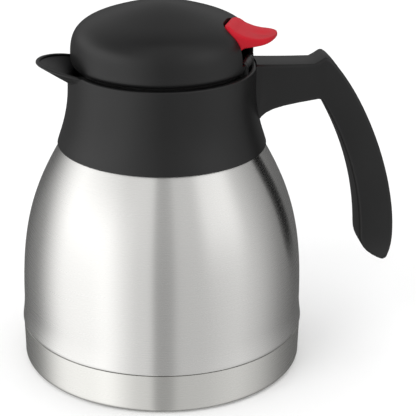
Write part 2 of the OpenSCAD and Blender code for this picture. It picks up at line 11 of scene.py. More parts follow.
import bmesh
import bpy
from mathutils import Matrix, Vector


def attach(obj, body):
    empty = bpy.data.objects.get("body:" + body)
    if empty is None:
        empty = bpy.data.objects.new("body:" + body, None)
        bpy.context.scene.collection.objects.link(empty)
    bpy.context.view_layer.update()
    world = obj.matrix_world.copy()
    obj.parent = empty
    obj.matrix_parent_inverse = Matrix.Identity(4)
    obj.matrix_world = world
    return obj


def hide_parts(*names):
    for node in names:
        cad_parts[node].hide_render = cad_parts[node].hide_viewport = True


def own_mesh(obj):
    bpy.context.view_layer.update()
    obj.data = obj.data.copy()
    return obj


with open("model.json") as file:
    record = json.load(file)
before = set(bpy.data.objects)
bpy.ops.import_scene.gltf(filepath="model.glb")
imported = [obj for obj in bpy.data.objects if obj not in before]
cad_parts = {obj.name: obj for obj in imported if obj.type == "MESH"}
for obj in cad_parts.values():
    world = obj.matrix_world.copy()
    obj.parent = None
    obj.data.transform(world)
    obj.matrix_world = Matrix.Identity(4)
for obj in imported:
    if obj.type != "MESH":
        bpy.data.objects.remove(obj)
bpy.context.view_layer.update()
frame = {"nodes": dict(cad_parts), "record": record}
ops = bpy.ops
MM = 0.001

# %% [markdown]
# ## Camera
# The picture was taken from the front, a little to the spout's side, with a long lens that looks
# down on the jug. The jug stands left of the middle of the picture because its handle reaches to
# the right. Turning the camera would also frame it so, but would change the perspective, so the
# lens is shifted instead, as on a view camera.

# %% Camera
CAMERA_BEARING = radians(6)
CAMERA_TILT = radians(22.4)
CAMERA_DISTANCE = 0.67886
CAMERA_HEIGHT = 0.3582
LENS = 125.05
LENS_SHIFT = 0.111

camera = bpy.data.objects.new("camera", bpy.data.cameras.new("camera"))
bpy.context.scene.collection.objects.link(camera)
camera.location = (-CAMERA_DISTANCE * sin(CAMERA_BEARING),
                   -CAMERA_DISTANCE * cos(CAMERA_BEARING), CAMERA_HEIGHT)
camera.rotation_euler = (pi / 2 - CAMERA_TILT, 0, -CAMERA_BEARING)
camera.data.lens = LENS
camera.data.sensor_width = 36
camera.data.shift_x = LENS_SHIFT
bpy.context.scene.camera = camera
print("camera at", [round(c, 3) for c in camera.location])

# %% [markdown]
# ## A few hand tools
# Most of the jug is round, so its pieces start as a circle that is pulled up ring by ring and sized
# at each ring, as a potter pulls a wall. The handle and the lever start as a small round-cornered
# plate that is pulled along a path. A screw modifier or a curve with a bevel could make such forms
# too, but pulling by hand gives an even grid of four-sided faces that can be shaped further. Each
# tool below is one such habit: start clean, select by place, pull, close, apply.


# %% Start a piece and select in it
def begin():
    """Nothing open and nothing selected, so that the next operator touches only what is meant."""
    if bpy.context.mode != "OBJECT":
        ops.object.mode_set(mode="OBJECT")
    ops.object.select_all(action="DESELECT")


def open_again(piece):
    """Opens a piece for editing with all of it selected."""
    begin()
    bpy.context.view_layer.objects.active = piece
    piece.select_set(True)
    ops.object.mode_set(mode="EDIT")
    ops.mesh.select_all(action="SELECT")


def opened(name):
    """The new primitive gets its name and its place, and is opened with all of it selected."""
    piece = bpy.context.object
    piece.name = piece.data.name = name
    ops.object.transform_apply(location=True, rotation=True, scale=True)
    ops.object.mode_set(mode="EDIT")
    ops.mesh.select_all(action="SELECT")
    return piece


def pick(piece, kind, test):
    """Selects the corners, edges or faces that pass the test, and nothing else."""
    ops.mesh.select_mode(type=kind)
    ops.mesh.select_all(action="DESELECT")
    form = bmesh.from_edit_mesh(piece.data)
    for part in {"VERT": form.verts, "EDGE": form.edges, "FACE": form.faces}[kind]:
        part.select_set(bool(test(part)))
    form.select_flush_mode()
    bmesh.update_edit_mesh(piece.data)


def leave_showing(piece, test):
    """Hides all corners but those that pass the test."""
    pick(piece, "VERT", lambda v: not test(v))
    ops.mesh.hide(unselected=False)


# %% Close and finish a piece
DOUBLES = 0.03 * MM


def cap_ends():
    """Closes the open ends of a pulled plate or wire."""
    ops.mesh.select_all(action="DESELECT")
    ops.mesh.select_mode(type="VERT")
    ops.mesh.select_non_manifold(extend=False)
    ops.mesh.edge_face_add()


def apply_modifier(piece, kind, **settings):
    begin()
    bpy.context.view_layer.objects.active = piece
    piece.select_set(True)
    modifier = piece.modifiers.new(kind.lower(), kind)
    for name, value in settings.items():
        setattr(modifier, name, value)
    ops.object.modifier_apply(modifier=modifier.name)


def closed(piece, smooth=32):
    """Doubles merged, faces outward, smooth but for the edges sharper than the angle."""
    open_again(piece)
    ops.mesh.remove_doubles(threshold=DOUBLES)
    ops.mesh.normals_make_consistent(inside=False)
    ops.object.mode_set(mode="OBJECT")
    ops.object.shade_smooth_by_angle(angle=radians(smooth))
    print(piece.name, len(piece.data.polygons), "faces")
    return piece


# %% Curves of a profile
def bend(p0, p1, p2, p3, steps, first=0):
    """Points on a curve from p0 to p3 that leaves towards p1 and arrives from p2."""
    points = []
    for i in range(first, steps + 1):
        t = i / steps
        a, b, c, d = (1 - t) ** 3, 3 * t * (1 - t) ** 2, 3 * t * t * (1 - t), t**3
        points.append(tuple(a * w + b * x + c * y + d * z for w, x, y, z in zip(p0, p1, p2, p3)))
    return points


def corner(centre, radius, start, end, steps):
    """Points on a round corner between two angles in degrees."""
    angles = [radians(start + (end - start) * i / steps) for i in range(steps + 1)]
    return [(centre[0] + radius * cos(a), centre[1] + radius * sin(a)) for a in angles]


# %% Pull a wall up from a circle
POLE = 0.02


def turned(name, profile, sides=144, wall=0):
    """profile holds (radius, height) in millimetres; a radius of 0 closes at the axis."""
    rings = [(max(r, POLE), z) for r, z in profile]
    begin()
    r, z = rings[0]
    ops.mesh.primitive_circle_add(vertices=sides, radius=r * MM, location=(0, 0, z * MM))
    piece = opened(name)
    for next_r, next_z in rings[1:]:
        ops.mesh.extrude_region_move(TRANSFORM_OT_translate={"value": (0, 0, (next_z - z) * MM)})
        ops.transform.resize(value=(next_r / r, next_r / r, 1))
        r, z = next_r, next_z
    closed(piece)
    if wall:
        apply_modifier(piece, "SOLIDIFY", thickness=wall * MM, offset=-1)
    return piece


# %% Pull a plate along a path in the plane of the handle
def lie(station):
    """Where a plate lies at a station: its middle, its lean, and half of its depth and width."""
    (ox, oz), (ix, iz), half = station
    centre = ((ox + ix) / 2 * MM, 0, (oz + iz) / 2 * MM)
    return centre, atan2(oz - iz, ix - ox), hypot(ix - ox, iz - oz) / 2 * MM, half * MM


def pulled(name, stations, columns=1, rounding=0, like=0):
    """stations holds (outer point, inner point, half width) in millimetres, seen from the side.
    The plate's corners are rounded as at station number like."""
    begin()
    depth, half = lie(stations[like])[2:]
    ops.mesh.primitive_plane_add(size=2)
    piece = opened(name)
    ops.transform.resize(value=(depth, half, 1))
    if rounding:
        ops.mesh.bevel(offset=rounding * MM, segments=4, affect="VERTICES")
    if columns > 1:
        pick(piece, "EDGE", lambda e: abs(e.verts[0].co.x - e.verts[1].co.x) < 1e-6)
        ops.mesh.subdivide(number_cuts=columns - 1)
        ops.mesh.select_all(action="SELECT")
    centre, lean, first_depth, first_half = lie(stations[0])
    ops.transform.resize(value=(first_depth / depth, first_half / half, 1),
                         center_override=(0, 0, 0))
    depth, half = first_depth, first_half
    ops.transform.rotate(value=-lean, orient_axis="Y", center_override=(0, 0, 0))
    ops.transform.translate(value=centre)
    for station in stations[1:]:
        to, next_lean, next_depth, next_half = lie(station)
        step = tuple(b - a for a, b in zip(centre, to))
        ops.mesh.extrude_region_move(TRANSFORM_OT_translate={"value": step})
        turn = (next_lean - lean + pi) % (2 * pi) - pi
        if abs(turn) > 1e-9:
            ops.transform.rotate(value=-turn, orient_axis="Y", center_override=to)
        k = next_depth / depth
        ops.transform.resize(value=(k, next_half / half, k), center_override=to)
        centre, lean, depth, half = to, next_lean, next_depth, next_half
    cap_ends()
    return piece


# %% [markdown]
# ## Steel shell
# The outer shell is drawn and spun from steel sheet: a straight wall over the foot, a long
# shoulder, and a neck that the collar hides. A lathe turns such a form in one go, and a circle that
# is pulled up as one ring after another follows it as closely, with rings where the curve needs
# them. The sheet's thickness comes last, as one modifier. A small bead stands over the band of the
# foot, where the base cup is pressed on.

# %% Sizes that pieces share
BODY_R = 71.05
BAND_H = 20.8
COLLAR_Z = 114.9
COLLAR_BASE_R = 51.9
COLLAR_R = 46.2
RIM_Z = 154.5
SHOULDER_R = COLLAR_BASE_R - 1.5
print("body", 2 * BODY_R, "mm across, rim at", RIM_Z, "mm")

# %% Steel shell
SHEET = 0.6
SKIRT_R, SKIRT_Z = 70.25, 8
BEAD_R = 72.0
WALL_TOP = 34
NECK_R = 37.5
NECK_Z = 127.3
NECK_TOP = 136.4

skirt_and_bead = [(SKIRT_R, SKIRT_Z), (SKIRT_R, BAND_H + 0.1), (BEAD_R - 0.25, BAND_H + 0.35),
                  (BEAD_R, BAND_H + 0.9), (BEAD_R - 0.05, BAND_H + 1.8)]
above_bead = bend((BEAD_R - 0.15, BAND_H + 2.4), (BEAD_R - 0.6, BAND_H + 6), (BODY_R, WALL_TOP - 5),
                  (BODY_R, WALL_TOP), 8)
body_side = bend((BODY_R, WALL_TOP), (BODY_R, WALL_TOP + 40.2),
                 (SHOULDER_R + 13.5, COLLAR_Z - 23.4), (SHOULDER_R, COLLAR_Z + 0.3), 40, 1)
shoulder = bend((SHOULDER_R, COLLAR_Z + 0.3), (SHOULDER_R - 4, COLLAR_Z + 7.3),
                (NECK_R + 5.5, NECK_Z), (NECK_R + 1.6, NECK_Z), 10, 1)
neck = [(NECK_R, NECK_Z + 1.2), (NECK_R, NECK_TOP)]
shell = turned("steel_shell", skirt_and_bead + above_bead + body_side + shoulder + neck, wall=SHEET)
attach(shell, "jug")
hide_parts("outer_shell")

# %% [markdown]
# ## Base cup
# The foot is a separate pressed cup with a plain band. Its upper edge meets the shell in a fine
# dark line, and its lower edge turns in over a small radius to the recess that holds the rubber
# pad. The band could be only a line in the shell's finish, but a real gap catches light and shade
# by itself from every side.

# %% Base cup
CUP_LIFT = 0.5
CUP_CORNER = 2.6
CUP_SHEET = 0.8
BAND_R = BODY_R + 0.6
FOOT_R = BODY_R + 0.25
RECESS_Z = 2.6

band = [(FOOT_R, BAND_H + 0.02), (BAND_R, BAND_H - 0.25), (BAND_R, BAND_H - 1.5),
        (FOOT_R, CUP_LIFT + CUP_CORNER + 2)]
underside = [(FOOT_R - CUP_CORNER - 6, CUP_LIFT), (FOOT_R - CUP_CORNER - 7, RECESS_Z),
             (30, RECESS_Z), (0, RECESS_Z)]
turned_in = corner((FOOT_R - CUP_CORNER, CUP_LIFT + CUP_CORNER), CUP_CORNER, 0, -90, 8)
cup = turned("base_cup_shell", band + turned_in + underside, wall=CUP_SHEET)
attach(cup, "jug")
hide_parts("base_cup")

# %% [markdown]
# ## Collar with its spout
# The collar is moulded in one piece: a flared ring that stands on the steel shoulder, a straight
# rim, and the spout drawn out of the rim. A spout made apart would need a join that shows as a
# seam. A potter pulls a spout out of the wall with a finger, and the same can be done here. Each
# ring of the wall is left showing alone, its foremost corner is dragged out, and proportional
# editing with the sphere falloff makes the neighbours follow in a round nose. The wall stays one
# clean grid.

# %% Wall of the collar
BORE_R = 43.8
EDGE_R = 0.8
SPOUT_FOOT_Z = 147
OUTER_STEP, INNER_STEP = 0.6, 0.7

foot_edge = corner((COLLAR_BASE_R - 0.5, COLLAR_Z + 0.5), 0.5, -90, -10, 3)
flare = bend((COLLAR_BASE_R - 0.02, COLLAR_Z + 0.8), (COLLAR_R - 0.1, COLLAR_Z + 16.4),
             (COLLAR_R, RIM_Z - 13.6), (COLLAR_R, SPOUT_FOOT_Z), 24, 1)
outer_top = [(COLLAR_R, SPOUT_FOOT_Z + OUTER_STEP * i) for i in range(1, 12)]
rim_edge = corner((COLLAR_R - EDGE_R, RIM_Z - EDGE_R), EDGE_R, 0, 90, 4)
bore_edge = [(BORE_R + 0.4, RIM_Z), (BORE_R, RIM_Z - 0.4)]
bore = [(BORE_R, RIM_Z - 0.4 - INNER_STEP * i) for i in range(1, 10)]
inner_flare = bend((BORE_R, SPOUT_FOOT_Z - 0.5), (BORE_R, RIM_Z - 14),
                   (BORE_R - 0.4, COLLAR_Z + 16), (SHOULDER_R + 0.25, COLLAR_Z), 12)
collar = turned("collar_with_spout", foot_edge + flare + outer_top + rim_edge + bore_edge + bore
                + inner_flare + foot_edge[:1], sides=192)

# %% Draw the spout out of the wall
SPOUT_REACH = 61.4
SPOUT_RISE = 3.5
SPOUT_HALF = 20.8
LIP = 2.0
SOFT_START = 0.18


def drag_ring(piece, radius, height, out, up, half):
    """Drags the foremost corner of one ring; its neighbours follow in a round nose."""
    near = 0.02 * MM

    def on_ring(v):
        around = hypot(v.co.x, v.co.y)
        return abs(v.co.z - height * MM) < near and abs(around - radius * MM) < near

    leave_showing(piece, on_ring)
    pick(piece, "VERT", lambda v: not v.hide and v.co.x < 0 and abs(v.co.y) < 0.1 * MM)
    ops.transform.translate(value=(-out * MM, 0, up * MM), use_proportional_edit=True,
                            proportional_edit_falloff="SPHERE", proportional_size=half * MM)
    ops.mesh.reveal(select=False)


def eased(t):
    """0 to 1, with a soft start that leaves a small fillet where the spout meets the wall."""
    slow = t * t / (2 * SOFT_START) if t < SOFT_START else t - SOFT_START / 2
    return min(1, slow / (1 - SOFT_START / 2))


open_again(collar)
outer_reach = SPOUT_REACH - COLLAR_R
inner_reach = SPOUT_REACH - BORE_R - LIP
for r, z in outer_top + rim_edge:
    share = eased((z - SPOUT_FOOT_Z) / (rim_edge[0][1] - SPOUT_FOOT_Z))
    half = max(SPOUT_HALF * sqrt(share), 4)
    drag_ring(collar, r, z, outer_reach * share, SPOUT_RISE * share, half)
for r, z in bore_edge + bore:
    share = min(1, (z - SPOUT_FOOT_Z - 0.9) / (RIM_Z - SPOUT_FOOT_Z - 2))
    if share > 0.02:
        half = max((SPOUT_HALF - 1.6) * sqrt(share), 3)
        drag_ring(collar, r, z, inner_reach * share, SPOUT_RISE * share, half)
closed(collar, smooth=40)

# %% [markdown]
# ## Ears of the hinge
# Two small ears stand on the back of the rim and hold the hinge pin. Each is a flat ring round the
# pin's hole, whose lower half is pulled down to a foot, and the whole is given its width. Made so,
# the hole is there from the start and needs no cutting. The lid stands about 21 degrees beside the
# handle, so its pieces are drawn over the handle, where they are square to the axes, and are turned
# to their place at the end.


# %% Merging and cutting
def combined(piece, other, operation):
    """Joins, cuts or keeps what both share; the other form is used up."""
    apply_modifier(piece, "BOOLEAN", object=other, operation=operation, solver="EXACT")
    bpy.data.objects.remove(other)
    return piece


# %% Turn a piece beside the handle
LID_TURN = radians(-21)


def beside_handle(piece):
    """The lid and its hinge are drawn over the handle; this turns a piece to where the lid is."""
    open_again(piece)
    ops.transform.rotate(value=-LID_TURN, orient_axis="Z", center_override=(0, 0, 0))
    ops.object.mode_set(mode="OBJECT")
    return piece


# %% Ears
HINGE_X = 41.8
HINGE_Z = RIM_Z + 3.5
HINGE_HOLE_R = 1.21
EAR_R = 2.3
EAR_IN, EAR_OUT = 4.5, 8
EAR_FOOT_Z = RIM_Z - 3.2


def ear(side):
    begin()
    centre = Vector((HINGE_X, side * EAR_IN, HINGE_Z)) * MM
    ops.mesh.primitive_circle_add(vertices=32, radius=EAR_R * MM, rotation=(pi / 2, 0, 0),
                                  location=centre)
    piece = opened("hinge_ear")
    ops.mesh.extrude_region_move()
    k = HINGE_HOLE_R / EAR_R
    ops.transform.resize(value=(k, 1, k), center_override=centre)

    def on_lower_edge(v):
        return (v.co.z < (HINGE_Z + 0.01) * MM
                and (v.co.xz - centre.xz).length > 0.9 * EAR_R * MM)

    pick(piece, "EDGE", lambda e: all(on_lower_edge(v) for v in e.verts))
    ops.mesh.extrude_region_move()
    ops.transform.resize(value=(1, 1, 0), center_override=(0, 0, EAR_FOOT_Z * MM))
    ops.mesh.select_all(action="SELECT")
    width = (0, side * (EAR_OUT - EAR_IN) * MM, 0)
    ops.mesh.extrude_region_move(TRANSFORM_OT_translate={"value": width})
    return closed(piece)


for side in (-1, 1):
    combined(collar, beside_handle(ear(side)), "UNION")
closed(collar, smooth=40)
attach(collar, "jug")
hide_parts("collar")

# %% [markdown]
# ## Handle
# The handle is one moulding that hangs from a single arm. A bevelled curve could draw it, but its
# two edges swell and narrow apart from each other. So its outline is drawn as pairs of points, one
# on the outer edge and one on the inner edge, and a plate is pulled along them from the collar to
# the free end. The long edges are bevelled afterwards, so that they keep one radius however the
# grip swells. The root is then cut to the collar's own curve, and the back gets the recess that the
# cover lies in.

# %% Outline of the handle
HANDLE_W = 18
HANDLE_REACH = 118.6
GRIP_T = 17.6
RIDGE_H = 3.1
HANDLE_END_Z = 45.8
ROOT_X = COLLAR_R - 0.9
ROOT_Z = COLLAR_Z + 6.1
ARM_END = HANDLE_REACH - 44.5
ARM_LOW = RIM_Z - 18.3
GRIP_Z = 62
GRIP_IN = HANDLE_REACH - GRIP_T
ARM_STEPS, RIDGE_STEPS, GRIP_STEPS, TIP_STEPS = 8, 5, 26, 8
GRIP_FROM = ARM_STEPS + RIDGE_STEPS + 1
TIP_FROM = GRIP_FROM + GRIP_STEPS
FINE = 1000

arm_top = [(ROOT_X + (ARM_END - ROOT_X) * i / ARM_STEPS, RIM_Z + 0.6 * (1 - i / ARM_STEPS) ** 2)
           for i in range(ARM_STEPS + 1)]
ridge = [(ARM_END + dx, RIM_Z + dz * RIDGE_H)
         for dx, dz in ((2.6, 0.45), (4.6, 0.88), (5.5, 1), (6.6, 0.96), (8.2, 0.62))]
grip_back = bend((ARM_END + 10.6, RIM_Z - 0.5), (ARM_END + 27, RIM_Z - 19),
                 (HANDLE_REACH, GRIP_Z + 32), (HANDLE_REACH, GRIP_Z), GRIP_STEPS)
tip_back = bend((HANDLE_REACH, GRIP_Z), (HANDLE_REACH, GRIP_Z - 6),
                (HANDLE_REACH - 0.3, HANDLE_END_Z + 5.6), (HANDLE_REACH - 1.1, HANDLE_END_Z + 2),
                TIP_STEPS, 1)
outer_edge = arm_top + ridge + grip_back + tip_back

under_curve = bend((ROOT_X, ROOT_Z), (ROOT_X + 2.6, ROOT_Z + 10.5), (ROOT_X + 7, ARM_LOW - 3.6),
                   (ARM_END + 2, ARM_LOW), FINE)
arm_under = [under_curve[round(FINE * (i / ARM_STEPS) ** 1.25)] for i in range(ARM_STEPS + 1)]
elbow = [(ARM_END + dx, ARM_LOW + dz)
         for dx, dz in ((2.9, 0.1), (3.7, -0.1), (4.4, -0.6), (5.0, -1.3), (5.6, -2.2))]
grip_front = bend((ARM_END + 6.4, ARM_LOW - 3.6), (ARM_END + 17, ARM_LOW - 22.2),
                  (GRIP_IN - 1.3, GRIP_Z + 30), (GRIP_IN, GRIP_Z + 2), GRIP_STEPS)
tip_front = bend((GRIP_IN, GRIP_Z + 2), (GRIP_IN + 0.2, GRIP_Z - 5),
                 (GRIP_IN + 4, HANDLE_END_Z + 5), (HANDLE_REACH - 2.9, HANDLE_END_Z), TIP_STEPS, 1)
inner_edge = arm_under + elbow + grip_front + tip_front


def handle_half(i):
    """The grip swells a little in its middle, and its tip narrows."""
    if i < GRIP_FROM:
        return HANDLE_W / 2
    if i <= TIP_FROM:
        return HANDLE_W / 2 * (1 + 0.06 * sin(pi * (i - GRIP_FROM) / GRIP_STEPS))
    return HANDLE_W / 2 * (1 - 0.48 * ((i - TIP_FROM) / TIP_STEPS) ** 1.5)


handle_stations = [(o, w, handle_half(i)) for i, (o, w) in enumerate(zip(outer_edge, inner_edge))]
print("handle stations", len(handle_stations), "from", outer_edge[0], "to", outer_edge[-1])

# %% Handle
HANDLE_EDGE_R = 1.7
handle = pulled("handle_grip", handle_stations)
tip_ring = [Vector((x * MM, 0, z * MM)) for x, z in (outer_edge[-1], inner_edge[-1])]
depths = [hypot(o[0] - w[0], o[1] - w[1]) * MM for o, w in zip(outer_edge, inner_edge)]


def long_or_last(e):
    """An edge that runs along the handle, or one of the four that close its free end."""
    a, b = e.verts
    last = all(min((v.co.xz - p.xz).length for p in tip_ring) < 1e-5 for v in e.verts)
    between_sides = len([f for f in e.link_faces if len(f.verts) == 4]) == 2
    across_depth = abs(a.co.y) == abs(b.co.y) and any(
        abs((a.co - b.co).length - depth) < 1e-7 for depth in depths)
    return last or (between_sides and a.co.y * b.co.y > 0 and not across_depth)


pick(handle, "EDGE", long_or_last)
ops.mesh.bevel(offset=HANDLE_EDGE_R * MM, segments=4, affect="EDGES", clamp_overlap=False)
closed(handle, smooth=30)

# %% Root of the handle, cut to the collar
SNUG = 0.02
below, above = COLLAR_Z - 20, RIM_Z + 20
room = turned("collar_room", [(0, below), (COLLAR_BASE_R + SNUG, below)]
              + [(r + SNUG, z) for r, z in foot_edge[-1:] + flare]
              + [(COLLAR_R + SNUG, above), (0, above)])
combined(handle, room, "DIFFERENCE")

# %% Recess in the back of the handle
COVER_T = 2.4
COVER_FROM, COVER_TO = ARM_STEPS + 3, TIP_FROM + 4


def sunk(top, bottom, inset):
    """The cover's stations for a plate that lies between two depths under the outer edge."""
    plates = []
    for (ox, oz), (ix, iz), half in handle_stations[COVER_FROM:COVER_TO + 1]:
        span = hypot(ix - ox, iz - oz)
        dx, dz = (ix - ox) / span, (iz - oz) / span
        plates.append(((ox + dx * top, oz + dz * top), (ox + dx * bottom, oz + dz * bottom),
                       half - inset))
    return plates


combined(handle, closed(pulled("recess", sunk(-4, COVER_T, 2.0))), "DIFFERENCE")
closed(handle, smooth=30)
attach(handle, "jug")
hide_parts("handle")

# %% [markdown]
# ## Cover of the handle
# The back of the handle is closed by a slim cover that is clipped into the recess. It could be cut
# out of a copy of the handle, but the same plate pulled along the same path, thinner and narrower
# by a hair, fits its recess exactly and leaves a fine even joint. Its edges are broken afterwards.

# %% Cover of the handle
COVER_EDGE = 0.35
cover = pulled("handle_back_cover", sunk(0.02, COVER_T - 0.05, 2.12))
pick(cover, "EDGE", lambda e: len(e.link_faces) == 2 and e.calc_face_angle(0) > radians(50))
ops.mesh.bevel(offset=COVER_EDGE * MM, segments=2, affect="EDGES", clamp_overlap=False)
closed(cover, smooth=30)
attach(cover, "jug")
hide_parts("handle_cover")

# %% [markdown]
# ## Dome of the lid
# The dome is a turned shell with a soft shoulder and a small chamfer at its lower edge, where the
# dark seam lies. The notch for the lever could be modelled into the grid, but the grid would then
# dent the soft dome around it, so it is cut from above with a round-nosed block. It stops above the
# lower edge, which runs on as a narrow ring. A second, narrower cut lets the hinge ears through
# that ring. Inside, two cheeks hold the lever pin and three bosses take the lid's screws.

# %% Profile of the dome
DOME_R = 44.6
DOME_H = 30.6
DOME_WALL = 2.2
DOME_Z = RIM_Z + 0.7
DOME_FOOT_R = DOME_R - 1.3
DOME_TOP = DOME_Z + DOME_H
CROWN_R, CROWN_Z = DOME_R - 17.1, DOME_TOP - 5.9

chamfer = [(DOME_FOOT_R, DOME_Z + 0.25), (DOME_FOOT_R + 0.45, DOME_Z + 0.95),
           (DOME_R - 0.32, DOME_Z + 2.5)]
dome_outer = (
    chamfer
    + bend((DOME_R - 0.2, DOME_Z + 3.2), (DOME_R, DOME_Z + 4), (DOME_R, DOME_Z + 5),
           (DOME_R, DOME_Z + 5.5), 3)
    + bend((DOME_R, DOME_Z + 5.5), (DOME_R, DOME_Z + 16.8), (DOME_R - 4, DOME_TOP - 10.3),
           (CROWN_R, CROWN_Z), 28, 1)
    + bend((CROWN_R, CROWN_Z), (DOME_R - 26.1, DOME_TOP - 2.9), (9, DOME_TOP), (0, DOME_TOP), 14, 1)
)


def inward(path, wall):
    """The path moved to its inner side by the wall."""
    moved = []
    for i, (r, z) in enumerate(path):
        (r0, z0), (r1, z1) = path[max(i - 1, 0)], path[min(i + 1, len(path) - 1)]
        span = hypot(r1 - r0, z1 - z0)
        moved.append((max(0, r - wall * (z1 - z0) / span), z + wall * (r1 - r0) / span))
    return moved


dome_inner = ([(DOME_FOOT_R - DOME_WALL + 0.5, DOME_Z)]
              + inward(dome_outer, DOME_WALL)[len(chamfer):-1] + [(0, DOME_TOP - DOME_WALL)])
dome = turned("lid_dome_shell", dome_outer + dome_inner[::-1] + [dome_outer[0]], sides=192)
closed(dome, smooth=30)


# %% Blocks and bars to join or cut with
def box(name, low, high):
    """An upright block between two corners, in millimetres."""
    begin()
    ops.mesh.primitive_cube_add(size=1, location=[(a + b) / 2 * MM for a, b in zip(low, high)],
                                scale=[(b - a) * MM for a, b in zip(low, high)])
    piece = opened(name)
    ops.object.mode_set(mode="OBJECT")
    return piece


def rod(name, radius, start, length, along_y=False, sides=48):
    """A round bar that starts at a point and stands upright or lies across the handle's plane."""
    begin()
    x, y, z = start
    centre = (x, y + length / 2, z) if along_y else (x, y, z + length / 2)
    ops.mesh.primitive_cylinder_add(
        vertices=sides, radius=radius * MM, depth=length * MM,
        rotation=(pi / 2 if along_y else 0, 0, 0), location=[c * MM for c in centre])
    piece = opened(name)
    ops.object.mode_set(mode="OBJECT")
    return piece


# %% Cheeks and bosses inside the dome
LEVER_W = 23.8
LEVER_PIN_X = 37
LEVER_PIN_Z = RIM_Z + 13
LEVER_PIN_HOLE_R = 1.51
SLOT_HALF = LEVER_W / 2 + 0.6
CHEEK_HALF_T, CHEEK_HALF_D = 2.2, 4
BOSS_R, SCREW_HOLE_R = 3, 1.15
LID_SCREW_R = 37.6
LID_SCREW_ANGLES = (60, 180, 300)
INTO_WALL = 0.6


def join_inside_dome(form):
    """Keeps what lies inside the dome, a little into its wall, and joins it to the dome."""
    inside = [(r + INTO_WALL, z) for r, z in dome_inner[3:-2]]
    room = turned("room", [(0, inside[0][1])] + inside + [(0, inside[-1][1])], sides=96)
    combined(dome, combined(form, room, "INTERSECT"), "UNION")


for side in (-1, 1):
    y = side * (SLOT_HALF + 2.2)
    join_inside_dome(box("cheek", (LEVER_PIN_X - CHEEK_HALF_D, y - CHEEK_HALF_T, LEVER_PIN_Z - 4),
                         (LEVER_PIN_X + CHEEK_HALF_D, y + CHEEK_HALF_T, DOME_TOP)))
for angle in LID_SCREW_ANGLES:
    x, y = LID_SCREW_R * cos(radians(angle)), LID_SCREW_R * sin(radians(angle))
    join_inside_dome(rod("boss", BOSS_R, (x, y, DOME_Z + 2), DOME_H, sides=24))
    hole = rod("screw_hole", SCREW_HOLE_R, (x, y, DOME_Z - 1), 10, sides=24)
    combined(dome, hole, "DIFFERENCE")

# %% Notch for the lever
SLOT_FRONT = LEVER_PIN_X - 5.72
SLOT_NOSE_R = 9
RING_TOP = DOME_Z + 4.5
EAR_ROOM = 8.6
WELL_OUT = 60


def round_nosed(name, low, high):
    """An upright block whose two front corners are round in plan."""
    piece = box(name, low, high)
    ops.object.mode_set(mode="EDIT")
    pick(piece, "EDGE", lambda e: all(v.co.x < (low[0] + 0.01) * MM for v in e.verts)
         and abs(e.verts[0].co.z - e.verts[1].co.z) > 1 * MM)
    ops.mesh.bevel(offset=SLOT_NOSE_R * MM, segments=12, affect="EDGES")
    return closed(piece)


notch = round_nosed("notch", (SLOT_FRONT, -SLOT_HALF, RING_TOP),
                    (WELL_OUT, SLOT_HALF, DOME_TOP + 5))
ear_room = box("ear_room", (SLOT_FRONT, -EAR_ROOM, DOME_Z - 2), (WELL_OUT, EAR_ROOM, RING_TOP + 1))
pin_hole = rod("pin_hole", LEVER_PIN_HOLE_R, (LEVER_PIN_X, -SLOT_HALF - 4.3, LEVER_PIN_Z),
               2 * SLOT_HALF + 8.6, along_y=True)
for cutter in (notch, ear_room, pin_hole):
    combined(dome, cutter, "DIFFERENCE")
closed(beside_handle(dome), smooth=30)
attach(dome, "lid")
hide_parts("lid_dome")

# %% [markdown]
# ## Thumb lever
# The lever is a soft red moulding: a full lobe that fills the notch, a hub round the pin, and a
# thumb end that thins to a round tip. A rounded block with a subdivision surface would give a soft
# form too, but its width in the notch could not be held. So a plate with rounded corners is pulled
# through its sections. The thumb's dish is pressed in by hand, with the underside hidden so that
# only the top follows. Inside the lid an arm reaches to the middle, where a fork lifts the cap of
# the valve stem.

# %% Outline of the lever
LEVER_REACH = 56.1
LEVER_FRONT = SLOT_FRONT + 0.7
LEVER_NOSE = 7.4
NECK_X = LEVER_PIN_X + 6.5
TAIL_FROM = 48.3
LOBE_STEPS, NECK_STEPS, TAIL_STEPS = 16, 8, 16


def from_pin(*points):
    """Points given by their x and their height over the lever's pin."""
    return [(x, LEVER_PIN_Z + up) for x, up in points]


lobe_top = bend(*from_pin((LEVER_FRONT, 7.8), (LEVER_FRONT, 11.6), (LEVER_FRONT + 2.8, 11.6),
                          (LEVER_PIN_X + 1.5, 8.4)), LOBE_STEPS)
tail_top = bend(*from_pin((LEVER_PIN_X + 1.5, 8.4), (LEVER_PIN_X + 6.2, 6.3),
                          (LEVER_PIN_X + 10, 5.5), (LEVER_REACH, 6.3)),
                NECK_STEPS + TAIL_STEPS, 1)
lobe_low = bend(*from_pin((LEVER_FRONT, 6.2), (LEVER_FRONT, -1.5), (LEVER_PIN_X - 2.5, -3.7),
                          (LEVER_PIN_X + 1, -3.7)), LOBE_STEPS)
neck_low = bend(*from_pin((LEVER_PIN_X + 1, -3.7), (LEVER_PIN_X + 3, -3.7), (NECK_X - 3, -0.2),
                          (NECK_X, 0.8)), NECK_STEPS, 1)
tail_low = bend(*from_pin((NECK_X, 0.8), (NECK_X + 5, 1.9), (LEVER_REACH - 3, 2.9),
                          (LEVER_REACH, 4.6)), TAIL_STEPS, 1)


def lever_half(x):
    """Both ends of the lever are round in plan, and its tail is a little narrower than its lobe."""
    short = max(0, LEVER_FRONT + LEVER_NOSE - x)
    tail = max(0, x - TAIL_FROM) / (LEVER_REACH + 0.25 - TAIL_FROM)
    half = LEVER_W / 2 - LEVER_NOSE + sqrt(LEVER_NOSE**2 - min(short, LEVER_NOSE) ** 2)
    return (half - 0.4 * min(1, max(0, x - 41) / 7)) * sqrt(1 - tail * tail)


